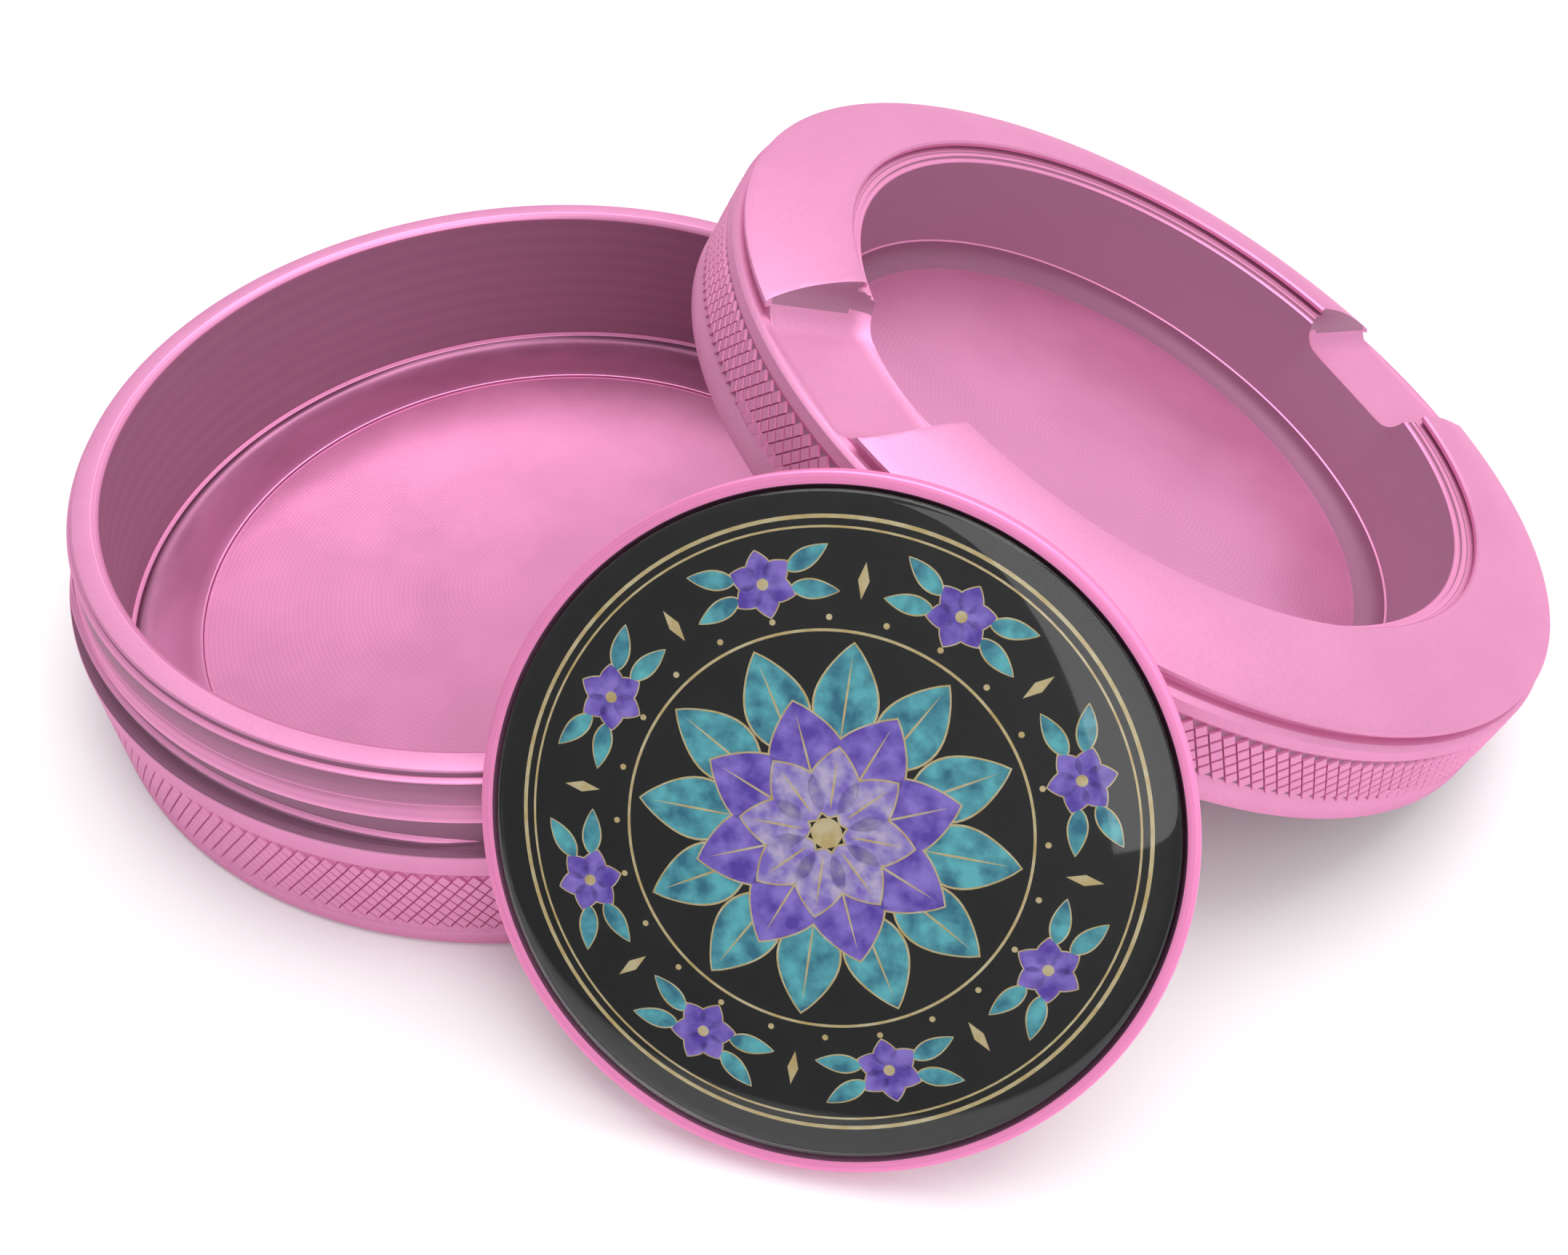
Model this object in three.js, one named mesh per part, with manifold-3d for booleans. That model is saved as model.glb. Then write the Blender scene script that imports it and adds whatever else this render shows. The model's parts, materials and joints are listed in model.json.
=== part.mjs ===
// Screw-top pocket tin in anodised aluminium, taken apart: a bowl with a threaded neck, the tray lid
// that screws onto it and leans on its rim, and the round inlay that drops into the tray's well.
// Millimetres, +Z up. The origin is the centre of the bowl's underside, on the table.
import * as THREE from "three";
import { mergeVertices } from "three/addons/utils/BufferGeometryUtils.js";
import Module from "manifold-3d";

const wasm = await Module();
wasm.setup();

// ---- driving dimensions ----
const SEGMENTS = 64; // facets round every turned piece
const FIT_GAP = 0.3; // clear space between pieces that touch
const DEG = Math.PI / 180;

const BODY_RADIUS = 42.5; // knurled body of the bowl
const RIM_RADIUS = 40; // top of the bowl's stepped neck
const NECK_RADIUS = 41.3; // wall of the neck that carries the thread
const THREAD_DEPTH = 0.4;
const THREAD_LEAD = -14.4; // the ridges fall as they run counter-clockwise, seen from above
const THREAD_STARTS = 4;
const THREAD_FADE = 1 / 16; // part of a turn over which a ridge rises from the wall
const THREAD_ROOT_HALF = 0.5; // half the ridge's width at the wall, and at its crest
const THREAD_CREST_HALF = 0.15;
const THREAD_SINK = 0.25; // how deep the ridge's root lies in the wall
const EDGE = 0.4; // broken edges of the tray lid and the inlay

const bowlSize = {
  height: 20.2,
  shoulder: 12.65,
  baseRound: 0.8,
  rimInner: 37.7, // the opening; the wall below it widens towards the ring line
  rimBevel: 0.55,
  rimEdge: 0.15,
  collarBottom: 19.4, // the straight collar just below the rim
  collarStep: 0.5, // width of the ledge below the collar
  ledgeRise: 0.05,
  flareRadius: 40.8, // at the foot of the neck's hollow flare
  flareHollow: 0.12, // the flare's radius beyond the collar, halfway up
  flareFoot: 16.9,
  slopeFoot: 15.6,
  threadTop: 15.9, // where a ridge starts
  ringRadius: 40.2, // the thin line where the wall meets the cove
  ringHeight: 2.6,
  ringStep: 0.3,
  coveEdge: 34.0,
  floorStep: 0.35,
  floorStepWidth: 0.25,
  floor: 1.1,
};

const traySize = {
  flangeRadius: 41.05,
  flangeEdge: 0.2, // height of the flange's outer edge
  domeTop: 2.1,
  openingRadius: 31.9,
  openingEdge: 0.25, // broken edge at the top of the opening
  openingLand: 0.25, // height of the opening's straight edge
  grooveRadius: 40.5,
  grooveTop: -0.15,
  grooveBottom: -0.95,
  lipWidth: 0.4,
  skirtTopRadius: 41.6,
  skirtRadius: 42.2, // the skirt widens a little towards its foot
  skirtBottom: -9.3,
  skirtInner: 40.95,
  skirtStepTop: -5.4, // the thread recess widens below this height
  skirtLowerInner: 41.75,
  threadTop: -6.4,
  ceiling: -1.9,
  undercutRadius: 32.5,
  seatTop: 1.15,
  seatRadius: 31.6,
  seatBottom: 0.75,
  seatStep: 0.15, // bevels of the seat and the undercut
  wallRadius: 30.6,
  wallOuter: 32.4,
  wellFloor: -10.8,
  wellBottom: -12.4,
  bottomBevel: 1.2,
  coveRadius: 2.4,
};

const gasketSize = { thickness: 0.8, overlap: 0.9 };

const notchSize = {
  floorHalfWidth: 5.2,
  corner: 3.0,
  flare: 0.6,
  depthAtEdge: 0.95,
  slope: 4.6 * DEG,
  turn: 25.1 * DEG,
};

const discSize = {
  radius: 25.4,
  thickness: 2.8,
  recessRadius: 24.45,
  recessDepth: 1.9,
  printThickness: 0.25,
  layerGap: 0.25, // clear space under the print and under the resin
  faceEdge: 0.15,
  domeFoot: -0.1,
  domeRise: 1.0,
};

// How the loose pieces lie: the tray lid leans on the bowl's rim, the inlay stands before both.
const trayPlace = { x: 58.6, y: 1.4, z: 25.7, tilt: 23.5 * DEG, heading: 3.2 * DEG };
const discPlace = { x: 23.8, y: -61.8, z: 0.15, lean: 54 * DEG, yaw: -13 * DEG };

// ---- finishes ----
const anodised = new THREE.MeshStandardMaterial({ color: 0xe490bf, roughness: 0.38, metalness: 0.9 });
const silicone = new THREE.MeshStandardMaterial({ color: 0xe8e4e0, roughness: 0.7, metalness: 0 });
const printedFilm = new THREE.MeshStandardMaterial({ color: 0x101014, roughness: 0.5, metalness: 0 });
const clearResin = new THREE.MeshStandardMaterial({
  color: 0xf4f6f8, roughness: 0.05, metalness: 0, transparent: true, opacity: 0.35,
});

// ---- helpers ----

// Points on an arc about (cx, cz), from angle a0 to a1 in degrees, ends included.
function arc(cx, cz, radius, a0, a1, steps) {
  const points = [];
  for (let i = 0; i <= steps; i++) {
    const a = (a0 + ((a1 - a0) * i) / steps) * DEG;
    points.push([cx + radius * Math.cos(a), cz + radius * Math.sin(a)]);
  }
  return points;
}

// A solid of revolution about Z from [radius, height] points. The list runs up the outside and
// down the inside, and starts and ends on the axis, or closes on itself.
function turned(points, segments = SEGMENTS) {
  const outline = points.map(([r, z]) => new THREE.Vector2(r, z));
  return new THREE.LatheGeometry(outline, segments).rotateX(Math.PI / 2);
}

function toSolid(geometry) {
  const bare = geometry.clone();
  bare.deleteAttribute("normal");
  bare.deleteAttribute("uv");
  const merged = mergeVertices(bare, 1e-4);
  return new wasm.Manifold(new wasm.Mesh({
    numProp: 3,
    vertProperties: new Float32Array(merged.attributes.position.array),
    triVerts: new Uint32Array(merged.index.array),
  }));
}

function toGeometry(solid) {
  const mesh = solid.getMesh();
  const geometry = new THREE.BufferGeometry();
  geometry.setAttribute("position", new THREE.BufferAttribute(mesh.vertProperties.slice(), 3));
  geometry.setIndex(new THREE.BufferAttribute(mesh.triVerts.slice(), 1));
  geometry.computeVertexNormals();
  return geometry;
}

// One helical thread ridge, as a closed sweep of a trapezoid that fades in and out at its ends.
// A crest radius above the root makes an outer thread, below it an inner one.
function threadRidge({ root, crest, turns, startZ, startAngle }) {
  const steps = Math.round(turns * SEGMENTS);
  const fade = SEGMENTS * THREAD_FADE;
  const least = 0.05; // share of the depth left at the very ends
  const buried = root - Math.sign(crest - root) * THREAD_SINK;
  const positions = [];
  const index = [];
  for (let i = 0; i <= steps; i++) {
    const angle = startAngle + (i / SEGMENTS) * 2 * Math.PI;
    const z = startZ + (i / SEGMENTS) * THREAD_LEAD;
    const grow = Math.max(least, Math.min(1, i / fade, (steps - i) / fade));
    const top = root + (crest - root) * grow;
    const section = [
      [buried, -THREAD_ROOT_HALF],
      [top, -THREAD_CREST_HALF],
      [top, THREAD_CREST_HALF],
      [buried, THREAD_ROOT_HALF],
    ];
    for (const [r, dz] of section) positions.push(r * Math.cos(angle), r * Math.sin(angle), z + dz);
  }
  const quad = (a, b, c, d) => index.push(a, b, c, a, c, d);
  for (let i = 0; i < steps; i++) {
    for (let k = 0; k < 4; k++) {
      const next = (k + 1) % 4;
      quad(4 * i + k, 4 * i + next, 4 * i + 4 + next, 4 * i + 4 + k);
    }
  }
  const last = 4 * steps;
  quad(3, 2, 1, 0);
  quad(last, last + 1, last + 2, last + 3);
  if (crest > root) index.reverse();
  const ridge = new THREE.BufferGeometry();
  ridge.setAttribute("position", new THREE.BufferAttribute(new Float32Array(positions), 3));
  ridge.setIndex(index);
  return ridge;
}

// Where the ridges of the multiple thread begin, as angles round the axis.
function threadStarts() {
  const first = 20 * DEG;
  return Array.from({ length: THREAD_STARTS }, (_, i) => first + (i * 2 * Math.PI) / THREAD_STARTS);
}

function mesh(name, geometry, material) {
  const piece = new THREE.Mesh(geometry, material);
  piece.name = name;
  return piece;
}

// ---- bowl ----

// The neck steps out and down from the rim: collar, ledge, hollow flare, slope and the threaded wall.
function neckProfile() {
  const b = bowlSize;
  const collar = RIM_RADIUS + b.collarStep;
  return [
    [NECK_RADIUS, b.shoulder],
    [NECK_RADIUS, b.slopeFoot],
    [b.flareRadius, b.flareFoot],
    [collar + b.flareHollow, (b.flareFoot + b.collarBottom) / 2],
    [collar, b.collarBottom],
    [RIM_RADIUS, b.collarBottom + b.ledgeRise],
    [RIM_RADIUS, b.height - b.rimEdge],
    [RIM_RADIUS - b.rimEdge, b.height],
  ];
}

// The wide hollow between the ring line and the floor circle.
function coveProfile() {
  const b = bowlSize;
  const points = [];
  const steps = 4;
  const outer = b.ringRadius - b.ringStep;
  const low = b.floor + b.floorStep;
  for (let i = 0; i <= steps; i++) {
    const a = (i / steps) * 90 * DEG;
    const inwards = (outer - b.coveEdge) * (1 - Math.cos(a));
    points.push([outer - inwards, b.ringHeight - (b.ringHeight - low) * Math.sin(a)]);
  }
  return points;
}

function makeBowl() {
  const b = bowlSize;
  const shell = turned([
    [0, 0],
    ...arc(BODY_RADIUS - b.baseRound, b.baseRound, b.baseRound, -90, 0, 3),
    [BODY_RADIUS, b.shoulder - b.rimEdge],
    [BODY_RADIUS - b.rimEdge, b.shoulder],
    ...neckProfile(),
    [b.rimInner + b.rimBevel, b.height],
    [b.rimInner, b.height - b.rimBevel],
    [b.ringRadius, b.ringHeight + b.ringStep],
    ...coveProfile(),
    [b.coveEdge - b.floorStepWidth, b.floor],
    [0, b.floor],
  ]);
  let bowl = toSolid(shell);
  for (const start of threadStarts()) {
    const ridge = threadRidge({
      root: NECK_RADIUS,
      crest: NECK_RADIUS + THREAD_DEPTH,
      turns: 0.2,
      startZ: b.threadTop,
      startAngle: start,
    });
    bowl = bowl.add(toSolid(ridge));
  }
  return toGeometry(bowl);
}

// ---- tray lid ----
function trayProfile() {
  const t = traySize;
  const r = t.openingRadius;
  const landFoot = t.domeTop - t.openingEdge - t.openingLand;
  const dome = [];
  const domeSteps = 5;
  for (let i = 0; i <= domeSteps; i++) {
    const f = i / domeSteps;
    const width = t.flangeRadius - r - t.openingEdge;
    const rise = (t.domeTop - t.flangeEdge) * Math.sin(f * 90 * DEG);
    dome.push([t.flangeRadius - width * f, t.flangeEdge + rise]);
  }
  return [
    [0, t.wellBottom],
    [t.wallOuter - t.bottomBevel, t.wellBottom],
    [t.wallOuter, t.wellBottom + t.bottomBevel],
    [t.wallOuter, t.ceiling],
    [t.skirtInner, t.ceiling],
    [t.skirtInner, t.skirtStepTop],
    [t.skirtLowerInner, t.skirtStepTop - EDGE],
    [t.skirtLowerInner, t.skirtBottom],
    [t.skirtRadius - EDGE / 2, t.skirtBottom],
    [t.skirtRadius, t.skirtBottom + EDGE / 2],
    [t.skirtTopRadius, t.grooveBottom - t.lipWidth],
    [t.skirtTopRadius - t.lipWidth, t.grooveBottom],
    [t.grooveRadius, t.grooveBottom],
    [t.grooveRadius, t.grooveTop],
    [t.flangeRadius, t.grooveTop],
    ...dome,
    [r, t.domeTop - t.openingEdge],
    [r, landFoot],
    [t.undercutRadius, landFoot - t.seatStep],
    [t.undercutRadius, t.seatTop],
    [t.seatRadius, t.seatTop],
    [t.seatRadius - t.seatStep, t.seatBottom],
    [t.wallRadius + t.seatStep, t.seatBottom],
    [t.wallRadius, t.seatBottom - t.seatStep],
    ...arc(t.wallRadius - t.coveRadius, t.wellFloor + t.coveRadius, t.coveRadius, 0, -90, 4),
    [0, t.wellFloor],
  ];
}

// The cutter of one finger notch: a trough with rounded bottom corners, whose floor falls towards
// the well. It lies along +X.
function notchCutter() {
  const n = notchSize;
  const reach = 14;
  const height = 6;
  const side = n.floorHalfWidth + n.corner;
  const trough = new THREE.Shape();
  trough.moveTo(-n.floorHalfWidth, 0);
  trough.lineTo(n.floorHalfWidth, 0);
  trough.absarc(n.floorHalfWidth, n.corner, n.corner, -Math.PI / 2, 0, false);
  trough.lineTo(side + n.flare, height);
  trough.lineTo(-side - n.flare, height);
  trough.lineTo(-side, n.corner);
  trough.absarc(-n.floorHalfWidth, n.corner, n.corner, Math.PI, 1.5 * Math.PI, false);
  const cutter = new THREE.ExtrudeGeometry(trough, { depth: reach, bevelEnabled: false, curveSegments: 6 });
  cutter.rotateX(Math.PI / 2).rotateZ(Math.PI / 2); // the trough opens upwards and runs along +X
  cutter.translate(-reach, 0, 0).rotateY(-n.slope); // its floor falls inwards from its outer end
  return cutter.translate(BODY_RADIUS + FIT_GAP, 0, -n.depthAtEdge);
}

function makeTrayLid() {
  const t = traySize;
  let lid = toSolid(turned(trayProfile()));
  for (const turn of [notchSize.turn, notchSize.turn + Math.PI]) {
    lid = lid.subtract(toSolid(notchCutter().rotateZ(turn)));
  }
  for (const start of threadStarts()) {
    const ridge = threadRidge({
      root: t.skirtLowerInner,
      crest: t.skirtLowerInner - THREAD_DEPTH,
      turns: 0.15,
      startZ: t.threadTop,
      startAngle: start,
    });
    lid = lid.add(toSolid(ridge));
  }
  return toGeometry(lid);
}

// The sealing ring that lies against the ceiling of the tray lid's thread recess.
function makeLidGasket() {
  const outer = RIM_RADIUS - FIT_GAP;
  const inner = bowlSize.rimInner - gasketSize.overlap;
  const top = traySize.ceiling - FIT_GAP;
  const bottom = top - gasketSize.thickness;
  return turned([[inner, bottom], [outer, bottom], [outer, top], [inner, top], [inner, bottom]]);
}

// ---- round inlay, with the face of its border at height 0 ----
function makeDiscCup() {
  const d = discSize;
  return turned([
    [0, -d.thickness],
    [d.radius - EDGE, -d.thickness],
    [d.radius, -d.thickness + EDGE],
    [d.radius, -d.faceEdge],
    [d.radius - d.faceEdge, 0],
    [d.recessRadius, 0],
    [d.recessRadius, -d.recessDepth],
    [0, -d.recessDepth],
  ]);
}

function makeArtPrint() {
  const d = discSize;
  const r = d.recessRadius - FIT_GAP;
  const low = -d.recessDepth + d.layerGap;
  const high = low + d.printThickness;
  return turned([[0, low], [r, low], [r, high], [0, high]]);
}

function makeClearDome() {
  const d = discSize;
  const r = d.recessRadius - FIT_GAP;
  const low = -d.recessDepth + 2 * d.layerGap + d.printThickness;
  const crown = [];
  const steps = 8;
  for (let i = 0; i < steps; i++) {
    const f = i / steps;
    crown.push([r * Math.cos(f * 90 * DEG), d.domeFoot + d.domeRise * Math.sin(f * 90 * DEG)]);
  }
  return turned([[0, low], [r, low], ...crown, [0, d.domeFoot + d.domeRise]]);
}

// ---- assembly ----
const tin = new THREE.Group();
tin.add(mesh("bowl", makeBowl(), anodised));

const tray = new THREE.Group();
tray.rotation.set(0, trayPlace.tilt, trayPlace.heading, "ZYX");
tray.position.set(trayPlace.x, trayPlace.y, trayPlace.z);
tray.add(mesh("tray_lid", makeTrayLid(), anodised));
tray.add(mesh("lid_gasket", makeLidGasket(), silicone));
tin.add(tray);

// The inlay stands on the lower edge of its back: yaw about Z, then lean back about its own X.
const inlay = new THREE.Group();
const rise = discSize.radius * Math.sin(discPlace.lean) + discSize.thickness * Math.cos(discPlace.lean);
const setBack = discSize.radius * Math.cos(discPlace.lean);
inlay.rotation.set(discPlace.lean, 0, discPlace.yaw, "ZYX");
inlay.position.set(
  discPlace.x - setBack * Math.sin(discPlace.yaw),
  discPlace.y + setBack * Math.cos(discPlace.yaw),
  discPlace.z + rise,
);
inlay.add(mesh("disc_cup", makeDiscCup(), anodised));
inlay.add(mesh("art_print", makeArtPrint(), printedFilm));
inlay.add(mesh("clear_dome", makeClearDome(), clearResin));
tin.add(inlay);

export default tin;
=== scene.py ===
import json
import math
import bpy
from mathutils import Matrix, Vector


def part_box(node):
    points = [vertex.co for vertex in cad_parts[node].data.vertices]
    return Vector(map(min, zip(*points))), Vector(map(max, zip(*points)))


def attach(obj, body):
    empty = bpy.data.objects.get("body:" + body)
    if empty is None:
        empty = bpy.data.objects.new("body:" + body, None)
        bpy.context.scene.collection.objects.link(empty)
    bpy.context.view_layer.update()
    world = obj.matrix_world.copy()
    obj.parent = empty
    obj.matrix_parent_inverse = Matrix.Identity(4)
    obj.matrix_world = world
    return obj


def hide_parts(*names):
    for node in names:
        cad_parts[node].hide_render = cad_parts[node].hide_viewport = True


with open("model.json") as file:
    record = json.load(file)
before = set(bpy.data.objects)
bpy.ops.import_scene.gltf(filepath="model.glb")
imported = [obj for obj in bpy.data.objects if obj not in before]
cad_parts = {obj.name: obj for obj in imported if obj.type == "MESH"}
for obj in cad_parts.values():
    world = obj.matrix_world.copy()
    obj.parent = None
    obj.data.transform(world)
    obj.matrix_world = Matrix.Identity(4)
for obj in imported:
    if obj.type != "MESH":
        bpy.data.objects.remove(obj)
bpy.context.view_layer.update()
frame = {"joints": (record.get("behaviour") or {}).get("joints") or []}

# Screw-top pocket tin: bowl, tray lid leaning on its rim, and the round inlay standing before them.
# Every piece is modelled in millimetres on its own axis, then scaled to metres and put in its place.

fineness = {"segments": 256, "edgeRound": 0.09, "smoothAngle": 32}

joints = {joint["name"]: joint for joint in frame["joints"]}
trayAxis = Vector(joints["tray_turn"]["axis"]).normalized()
discAxis = Vector(joints["disc_lift"]["axis"]).normalized()
discLow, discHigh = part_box("disc_cup")


def placeFrom(point, turn, lean, leanAxis):
    turned = Matrix.Rotation(turn, 4, "Z") @ Matrix.Rotation(lean, 4, leanAxis)
    return Matrix.Translation(point) @ turned


def discPlace(thickness):
    face = (discLow + discHigh) / 2 + discAxis * thickness / 2000  # half a thickness forward
    return placeFrom(face, math.atan2(discAxis.x, -discAxis.y), math.acos(discAxis.z), "X")


bowlFrame = Matrix.Identity(4)
trayFrame = placeFrom(
    Vector(joints["tray_turn"]["pos_m"]), math.atan2(trayAxis.y, trayAxis.x), math.acos(trayAxis.z), "Y")


# ---- working helpers ----
def clearSelection():
    if bpy.context.object and bpy.context.object.mode != "OBJECT":
        bpy.ops.object.mode_set(mode="OBJECT")
    bpy.ops.object.select_all(action="DESELECT")


def pick(piece):
    clearSelection()
    piece.select_set(True)
    bpy.context.view_layer.objects.active = piece


def applyModifier(piece, kind, **settings):
    pick(piece)
    modifier = piece.modifiers.new(kind.lower(), kind)
    for setting, value in settings.items():
        setattr(modifier, setting, value)
    bpy.ops.object.modifier_apply(modifier=modifier.name)


def turnSolid(name, outline, segments=None):  # from the underside, round the outside, to the top cap
    clearSelection()
    radius, height = outline[0]
    bpy.ops.mesh.primitive_circle_add(
        vertices=segments or fineness["segments"], radius=radius, fill_type="NGON", location=(0, 0, height))
    piece = bpy.context.object
    piece.name = name
    bpy.ops.object.transform_apply()
    bpy.ops.object.mode_set(mode="EDIT")
    bpy.ops.mesh.select_mode(type="FACE")
    bpy.ops.mesh.select_all(action="SELECT")
    for nextRadius, nextHeight in outline[1:]:
        bpy.ops.mesh.extrude_region_move(TRANSFORM_OT_translate={"value": (0, 0, nextHeight - height)})
        share = nextRadius / radius
        bpy.ops.transform.resize(value=(share, share, 1), center_override=(0, 0, nextHeight))
        radius, height = nextRadius, nextHeight
    bpy.ops.mesh.select_all(action="SELECT")
    bpy.ops.mesh.normals_make_consistent(inside=False)
    bpy.ops.object.mode_set(mode="OBJECT")
    return piece


def turnRing(name, outline, segments=None):  # a closed outline round the axis, such as a washer
    clearSelection()
    radius, height = outline[0]
    bpy.ops.mesh.primitive_circle_add(
        vertices=segments or fineness["segments"], radius=radius, fill_type="NOTHING",
        location=(0, 0, height))
    piece = bpy.context.object
    piece.name = name
    bpy.ops.object.transform_apply()
    bpy.ops.object.mode_set(mode="EDIT")
    bpy.ops.mesh.select_mode(type="EDGE")
    bpy.ops.mesh.select_all(action="SELECT")
    for nextRadius, nextHeight in outline[1:] + outline[:1]:
        bpy.ops.mesh.extrude_edges_move(TRANSFORM_OT_translate={"value": (0, 0, nextHeight - height)})
        share = nextRadius / radius
        bpy.ops.transform.resize(value=(share, share, 1), center_override=(0, 0, nextHeight))
        radius, height = nextRadius, nextHeight
    bpy.ops.mesh.select_all(action="SELECT")
    bpy.ops.mesh.remove_doubles(threshold=0.002)
    bpy.ops.mesh.normals_make_consistent(inside=False)
    bpy.ops.object.mode_set(mode="OBJECT")
    return piece


def arcPoints(centreRadius, centreHeight, size, startAngle, endAngle, steps):
    points = []
    for step in range(steps + 1):
        angle = math.radians(startAngle + (endAngle - startAngle) * step / steps)
        points.append((centreRadius + size * math.cos(angle), centreHeight + size * math.sin(angle)))
    return points


def softenEdges(piece, width=None):
    applyModifier(
        piece, "BEVEL", width=width or fineness["edgeRound"], segments=2, limit_method="ANGLE",
        angle_limit=math.radians(fineness["smoothAngle"]), use_clamp_overlap=True)


def smooth(piece, angle=None):
    pick(piece)
    bpy.ops.object.shade_smooth_by_angle(angle=math.radians(angle or fineness["smoothAngle"]))


def coat(piece, *finishes):  # the first covers the piece, each later one the faces its test picks
    piece.data.materials.clear()
    piece.data.materials.append(finishes[0])
    for face in piece.data.polygons:
        face.material_index = 0
    for material, test in finishes[1:]:
        piece.data.materials.append(material)
        index = len(piece.data.materials) - 1
        for face in piece.data.polygons:
            centre = face.center
            if test(math.hypot(centre.x, centre.y), centre.z, face.normal):
                face.material_index = index


def join(name, pieces):
    clearSelection()
    for piece in pieces:
        piece.select_set(True)
    bpy.context.view_layer.objects.active = pieces[0]
    bpy.ops.object.transform_apply()
    bpy.ops.object.join()
    joined = bpy.context.object
    joined.name = name
    return joined


def settle(piece, place, body, slot, *nodes):  # millimetres to metres, into place, and onto its body
    pick(piece)
    bpy.ops.object.transform_apply()
    piece.matrix_world = place @ Matrix.Scale(0.001, 4)
    bpy.ops.object.transform_apply()
    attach(piece, body)
    if nodes:
        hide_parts(*nodes)


# ---- finishes ----
dyedSheen = "#f3b4d8"  # the dye tints even the grazing reflections


def colour(hexText):  # sRGB hex to linear
    def channel(value):
        return value / 12.92 if value <= 0.04045 else ((value + 0.055) / 1.055) ** 2.4
    return [channel(int(hexText[i:i + 2], 16) / 255) for i in (1, 3, 5)] + [1]


def addNode(tree, kind, settings=None, **links):
    node = tree.nodes.new(kind)
    for name, value in (settings or {}).items():
        if name in node.inputs.keys():
            node.inputs[name].default_value = value
        else:
            setattr(node, name, value)
    for name, source in links.items():
        tree.links.new(source, node.inputs[name.replace("_", " ")])
    return node


def startMaterial(name, **settings):
    material = bpy.data.materials.new(name)
    material.use_nodes = True
    shader = material.node_tree.nodes["Principled BSDF"]
    for setting, value in settings.items():
        shader.inputs[setting.replace("_", " ")].default_value = value
    return material, material.node_tree, shader


def ownCoordinates(tree, place):  # the piece's own axis, in millimetres
    coordinates = addNode(tree, "ShaderNodeTexCoord")
    back = Matrix.Scale(1000, 4) @ place.inverted()
    turned = place.to_3x3().inverted().to_euler()
    mapping = addNode(tree, "ShaderNodeMapping", {
        "Location": back.translation, "Rotation": turned, "Scale": (1000, 1000, 1000)})
    tree.links.new(coordinates.outputs["Object"], mapping.inputs["Vector"])
    return mapping.outputs["Vector"]


def ramp(tree, source, stops):
    node = addNode(tree, "ShaderNodeValToRGB", Fac=source)
    elements = node.color_ramp.elements
    while len(elements) < len(stops):
        elements.new(0.5)
    for element, (position, tone) in zip(elements, stops):
        element.position = position
        element.color = colour(tone)
    return node.outputs["Color"]


def varyGloss(tree, shader, source, least, most):
    gloss = addNode(tree, "ShaderNodeMapRange", {"To Min": least, "To Max": most}, Value=source)
    tree.links.new(gloss.outputs["Result"], shader.inputs["Roughness"])


def raiseGrain(tree, shader, source, strength, distance):
    bump = addNode(tree, "ShaderNodeBump", {"Strength": strength, "Distance": distance}, Height=source)
    tree.links.new(bump.outputs["Normal"], shader.inputs["Normal"])


# Aluminium bead blasted before anodising: a matt, even sheen with a fine grain. Grain of about 0.25 mm.
def blastedAluminium(name, place, light, dark, roughness=0.45, grain=0.25, depth=0.012):
    material, tree, shader = startMaterial(name, Metallic=0.55, Specular_Tint=colour(dyedSheen))
    here = ownCoordinates(tree, place)
    cloud = addNode(tree, "ShaderNodeTexNoise", {"Scale": 1 / 9, "Detail": 3}, Vector=here)
    speckle = addNode(tree, "ShaderNodeTexNoise", {"Scale": 1 / grain, "Detail": 2}, Vector=here)
    blend = addNode(tree, "ShaderNodeMix", {"data_type": "FLOAT", "Factor": 0.45},
                    A=cloud.outputs["Fac"], B=speckle.outputs["Fac"])
    tree.links.new(ramp(tree, blend.outputs[0], [(0.36, dark), (0.62, light)]), shader.inputs["Base Color"])
    varyGloss(tree, shader, speckle.outputs["Fac"], roughness - 0.06, roughness + 0.06)
    raiseGrain(tree, shader, speckle.outputs["Fac"], 0.5, depth / 1000)
    return material


# Aluminium turned on a lathe and left bright: fine rings from the tool, about 0.3 mm apart. The same recipe
# also makes the dark copies, which are painted shade, and its bright copies on up-facing ledges and edges
# are partly painted highlight.
def turnedAluminium(name, place, light, dark, roughness=0.3, feed=0.3, depth=0.004, streak=0.5,
                    metallic=0.8):
    material, tree, shader = startMaterial(name, Metallic=metallic, Specular_Tint=colour(dyedSheen))
    here = ownCoordinates(tree, place)
    rings = addNode(tree, "ShaderNodeTexWave", {
        "wave_type": "RINGS", "rings_direction": "Z", "Scale": 0.314 / feed, "Distortion": 0.6,
        "Detail": 2, "Detail Scale": 0.4}, Vector=here)
    stretched = addNode(tree, "ShaderNodeMapping", {"Scale": (0.12, 0.12, 2.2)}, Vector=here)
    streaks = addNode(tree, "ShaderNodeTexNoise", {"Scale": 0.9, "Detail": 4, "Roughness": 0.6},
                      Vector=stretched.outputs["Vector"])
    blend = addNode(tree, "ShaderNodeMix", {"data_type": "FLOAT", "Factor": streak},
                    A=rings.outputs["Fac"], B=streaks.outputs["Fac"])
    tree.links.new(ramp(tree, blend.outputs[0], [(0.3, dark), (0.7, light)]), shader.inputs["Base Color"])
    varyGloss(tree, shader, streaks.outputs["Fac"], roughness - 0.05, roughness + 0.07)
    raiseGrain(tree, shader, rings.outputs["Fac"], 0.5, depth / 1000)
    return material
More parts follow.
